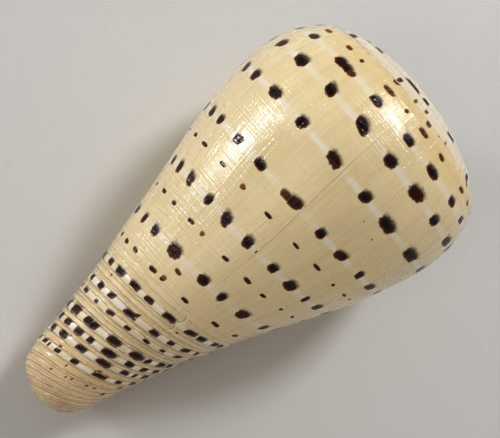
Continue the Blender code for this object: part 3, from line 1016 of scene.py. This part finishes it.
    def bands(self, nodes: ShellNodes, colour):
        """Pale bands along the rows of spots, with soft broken edges."""
        off, strength, _ = nodes.split("band")
        off = nodes.plus(nodes.absolute(off), nodes.wander(nodes.noise(nodes.solid, 700.0), 0.9))
        broken = nodes.fade(nodes.noise(nodes.solid, 190.0, 3.0), 0.35, 0.6, 0.4, 1.35)
        return nodes.mix(nodes.times(nodes.fade(off, 1.6, 0.15), strength, broken), colour, self.band)

    def scar(self, nodes: ShellNodes):
        """Degrees from the nearest old lip, and its strength, which fades towards the shoulder."""
        beside, strength, _ = nodes.split("scar")
        return beside, nodes.times(strength, nodes.fade(nodes.row, 9.0, 26.0, 0.3, 1.0))

    def growth_lines(self, nodes: ShellNodes, colour):
        """Fine lines of growth, and a few old lips that show as thin brown lines."""
        fine = nodes.fade(nodes.grain(0.35, 14.0), 0.56, 0.75, 0.0, 0.11)
        colour = nodes.mix(fine, colour, self.deep_tan)
        beside, strength = self.scar(nodes)
        off = nodes.absolute(nodes.plus(beside, nodes.wander(nodes.grain(6.0, 4.0), 1.4)))
        return nodes.mix(nodes.times(nodes.fade(off, 0.24, 0.04, 0.0, 0.42), strength), colour, self.groove)

    def healed_break(self, nodes: ShellNodes, colour, healed: HealedBreak):
        """A healed break in scallops: a bright line along it, painted as a highlight, with a dark side
        towards the lip.
        """
        degree = math.radians(1.0) * Sheet.reference_radius
        turn = nodes.times(nodes.plus(nodes.row, -healed.first_row), math.pi / healed.scallop)
        bow = nodes.times(nodes.absolute(nodes.math("SINE", turn)), healed.bow * degree)
        off = nodes.math("SUBTRACT", nodes.plus(nodes.around, -healed.back * degree), bow)
        after_first = nodes.math("GREATER_THAN", nodes.row, healed.first_row)
        there = nodes.times(after_first, nodes.math("LESS_THAN", nodes.row, healed.last_row))
        shade = nodes.fade(nodes.absolute(nodes.plus(off, 0.45)), 0.4, 0.0, 0.0, 0.5)
        colour = nodes.mix(nodes.times(shade, there), colour, self.groove)
        # Painted highlight along the healed break.
        line = nodes.fade(nodes.absolute(off), 0.26, 0.06, 0.0, 0.8)
        return nodes.mix(nodes.times(line, there), colour, self.glint_white)

    def spots(self, nodes: ShellNodes, colour):
        """Blackish spots: a crisp brown edge on the tip's side, fading to grey on the spire's side."""
        across, along, seed = nodes.split("spot")
        black, orange, tall = nodes.split("ink")
        lobes = nodes.wander(nodes.noise(nodes.solid, 650.0, 1.0), 0.5)
        ragged = nodes.plus(nodes.wander(nodes.noise(nodes.solid, 1500.0, 3.0, 0.6), 0.6), lobes)
        power = nodes.fade(nodes.row, 60.0, 67.0, 2.5, 3.8)
        sides = (across, nodes.plus(along, 0.1))
        sides = [nodes.math("POWER", nodes.absolute(side), power) for side in sides]
        off = nodes.math("POWER", nodes.plus(*sides), nodes.math("DIVIDE", 1.0, power))
        off = nodes.plus(off, ragged)
        upward = nodes.fade(nodes.plus(along, ragged), -0.1, -1.0)
        softness = nodes.fade(upward, 0.0, 1.0, 0.12, 0.44)
        inner_edge = nodes.math("SUBTRACT", self.spot_edge, softness)
        shape = nodes.fade(off, nodes.plus(self.spot_edge, softness), inner_edge)
        ring = nodes.times(nodes.fade(off, 0.42, 0.95), nodes.fade(upward, 0.0, 0.5, 1.0, 0.2))
        core = nodes.times(black, nodes.fade(ring, 0.0, 1.0, 1.0, 0.1))
        core = nodes.times(core, nodes.fade(tall, 0.3, 0.75, 0.72, 1.0))
        dark = nodes.mix(core, nodes.mix(orange, self.edge, self.orange), self.core)
        reddish = nodes.times(nodes.fade(seed, 0.45, 1.0, 0.0, 0.3), nodes.fade(black, 0.0, 1.0))
        dark = nodes.mix(reddish, dark, self.edge)
        greyness = nodes.times(upward, nodes.fade(seed, 0.0, 0.7, 0.85, 0.2))
        greyness = nodes.times(greyness, nodes.fade(nodes.row, 60.0, 68.0, 1.0, 0.4))
        greyness = nodes.times(greyness, nodes.fade(tall, 0.35, 0.8, 0.25, 1.0))
        greyness = nodes.times(greyness, nodes.fade(nodes.grain(0.5, 0.8, 1.0), 0.35, 0.65, 0.55, 1.3))
        lee = nodes.fade(nodes.plus(across, along), -0.2, 1.2, 0.0, 0.6)
        lee = nodes.times(lee, nodes.fade(nodes.row, 62.0, 67.0))
        dark = nodes.mix(nodes.math("MAXIMUM", greyness, lee), dark, self.grey)
        return nodes.mix(shape, colour, dark), shape

    def weave(self, nodes: ShellNodes):
        """Height of the grain: growth lines crossed by fine spiral threads, coarser threads on the base."""
        base = nodes.fade(nodes.row, 56.0, 72.0)
        growth = nodes.times(nodes.grain(0.42, 6.0, 1.0), nodes.fade(base, 0.0, 1.0, 1.0, 0.5))
        glinting_threads = nodes.times(nodes.grain(8.0, 0.36, 1.0), 0.9)
        pits = nodes.times(nodes.noise(nodes.solid, 2400.0, 1.0), 0.3)
        dashes = nodes.times(nodes.grain(2.4, 0.45, 1.0), base, 1.3)
        height = nodes.plus(growth, glinting_threads, pits, dashes)
        return nodes.times(height, nodes.fade(nodes.row, 26.0, 14.0, 1.1, 1.3))

    def normal(self, nodes: ShellNodes, height, grain: float):
        """Normal of the surface: grooves of the base are cut in, then come the grain and the old lips."""
        cut = nodes.bump(self.groove_depth(nodes), 0.8, self.groove_cut, invert=True)
        fine = nodes.bump(height, grain, self.grain_height, cut)
        beside, strength = self.scar(nodes)
        ridge = nodes.times(nodes.fade(nodes.absolute(beside), 0.5, 0.0), strength)
        return nodes.bump(ridge, 0.4, self.ridge_height, fine)


@dataclass(frozen=True)
class PaleFloor:
    """A plain pale floor under the shell."""

    colour: str = "#E0DDD8"
    roughness: float = 0.9
    half: float = 2.0

    def build(self) -> bpy.types.Object:
        """Add the floor."""
        bpy.ops.object.select_all(action="DESELECT")
        bpy.ops.mesh.primitive_plane_add(size=2.0 * self.half, location=(0.0, 0.0, 0.0))
        floor = bpy.context.object
        floor.name = "pale_floor"
        material = bpy.data.materials.new("matt_pale_card")
        material.use_nodes = True
        surface = material.node_tree.nodes["Principled BSDF"]
        surface.inputs["Base Color"].default_value = linear(self.colour)
        surface.inputs["Roughness"].default_value = self.roughness
        floor.data.materials.append(material)
        return floor


@dataclass(frozen=True)
class Viewpoint:
    """Where the shell is seen from, in the coil's frame: nearly straight down onto its back."""

    aim: tuple[float, float, float] = (-43.39, 2.185, 0.0)
    tilt: float = 3.17
    distance: float = 172.24
    roll: float = 37.14
    lens: float = 60.8
    nearest: float = 0.01
    farthest: float = 10.0

    def axes(self) -> tuple[Vector, Vector, Vector]:
        """Right, up and backward directions of the view."""
        tilt, roll = math.radians(self.tilt), math.radians(self.roll)
        towards_spire = Vector((math.cos(tilt), 0.0, -math.sin(tilt)))
        towards_right = Vector((0.0, -1.0, 0.0))
        right = math.cos(roll) * towards_spire + math.sin(roll) * towards_right
        up = math.sin(roll) * towards_spire - math.cos(roll) * towards_right
        return right, up, right.cross(up)

    def place(self) -> Vector:
        """Camera's place in the coil's frame."""
        return Vector(self.aim) + self.axes()[2] * self.distance

    def build(self, placed: Matrix) -> bpy.types.Object:
        """Add the camera.

        Args:
            placed: Matrix from the coil's frame to the scene.

        Returns:
            The scene's camera.
        """
        data = bpy.data.cameras.new("camera")
        data.lens = self.lens
        data.clip_start, data.clip_end = self.nearest, self.farthest
        camera = bpy.data.objects.new("camera", data)
        bpy.context.scene.collection.objects.link(camera)
        turn = placed.to_3x3().normalized()
        columns = Matrix([turn @ axis for axis in self.axes()]).transposed()
        camera.matrix_world = Matrix.Translation(placed @ self.place()) @ columns.to_4x4()
        bpy.context.scene.camera = camera
        return camera


@dataclass(frozen=True)
class Softbox:
    """A square soft light placed where its mirror image falls on one place of the shell.

    A spread of less than 180 degrees is a grid over the light, which keeps it off the floor nearby.
    """

    name: str
    row: float
    back: float
    distance: float
    size: float
    power: float
    colour: str = "#FFFFFF"
    spread: float = 180.0

    def build(self, coil: Coil, view: Viewpoint, placed: Matrix) -> bpy.types.Object:
        """Add the light.

        Args:
            coil: The shell's growth law.
            view: Where the shell is seen from.
            placed: Matrix from the coil's frame to the scene.

        Returns:
            The light.
        """
        spot = Vector(coil.point(*coil.outer(np.array(self.row), np.array(self.back)), self.back))
        normal = coil.normal(self.row, self.back)
        sight = (view.place() - spot).normalized()
        mirror = 2.0 * normal.dot(sight) * normal - sight
        turn = placed.to_3x3().normalized()
        towards = (turn @ mirror).normalized()
        data = bpy.data.lights.new(self.name, "AREA")
        data.shape = "SQUARE"
        data.size = self.size
        data.energy = self.power
        data.spread = math.radians(self.spread)
        data.color = linear(self.colour)[:3]
        light = bpy.data.objects.new(self.name, data)
        bpy.context.scene.collection.objects.link(light)
        light.location = placed @ spot + towards * self.distance
        light.rotation_mode = "QUATERNION"
        light.rotation_quaternion = towards.to_track_quat("Z", "Y")
        log.info("%s from %s", self.name, [round(value, 3) for value in towards])
        return light


SOFTBOXES = (
    Softbox("side_softbox", row=34.5, back=109.0, distance=0.7, size=0.13, power=0.365, colour="#EDF4FF",
            spread=75.0),
    Softbox("spire_softbox", row=12.0, back=142.0, distance=0.5, size=0.1, power=1.5, colour="#F1F6FF"),
    Softbox("front_softbox", row=42.0, back=134.0, distance=0.8, size=0.4, power=0.72),
    Softbox("low_fill", row=40.0, back=167.0, distance=1.0, size=0.7, power=0.3, colour="#FFF8F0"),
)


@dataclass(frozen=True)
class Studio:
    """Plain soft light: two small boxes for the highlights, two broad ones, and a pale room."""

    room: str = "#FBF9F6"
    overhead: float = 0.41
    horizon: float = 0.46
    horizon_end: float = 0.2
    gamma: float = 0.7

    def build(self, coil: Coil, view: Viewpoint, placed: Matrix) -> None:
        """Add the lights and the room's light, a little brighter at the horizon than overhead."""
        for softbox in SOFTBOXES:
            softbox.build(coil, view, placed)
        world = bpy.data.worlds.new("room")
        bpy.context.scene.world = world
        world.use_nodes = True
        nodes = Nodes(world)
        heading = nodes.add("ShaderNodeTexCoord").outputs["Generated"]
        rise = nodes.add("ShaderNodeSeparateXYZ", {0: heading}).outputs[2]
        strength = nodes.fade(rise, self.horizon_end, 1.0, self.horizon, self.overhead)
        nodes.fill(world.node_tree.nodes["Background"], {"Color": linear(self.room), "Strength": strength})
        settings = bpy.context.scene.view_settings
        settings.view_transform = "Standard"
        settings.gamma = self.gamma
        settings.look = "None"


def main() -> None:
    """Load the frame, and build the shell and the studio."""
    logging.basicConfig(level=logging.INFO, format="%(message)s")
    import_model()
    for item in list(bpy.data.objects):
        if item.type in {"CAMERA", "LIGHT"}:
            bpy.data.objects.remove(item, do_unlink=True)
    coil = Coil()
    shell, placed = ConeShell(coil, Cords()).build(PolishedShell())
    PaleFloor().build()
    view = Viewpoint()
    view.build(placed)
    Studio().build(coil, view, placed)
    log.info("shell faces %d", len(shell.data.polygons))


if __name__ == "__main__":
    main()
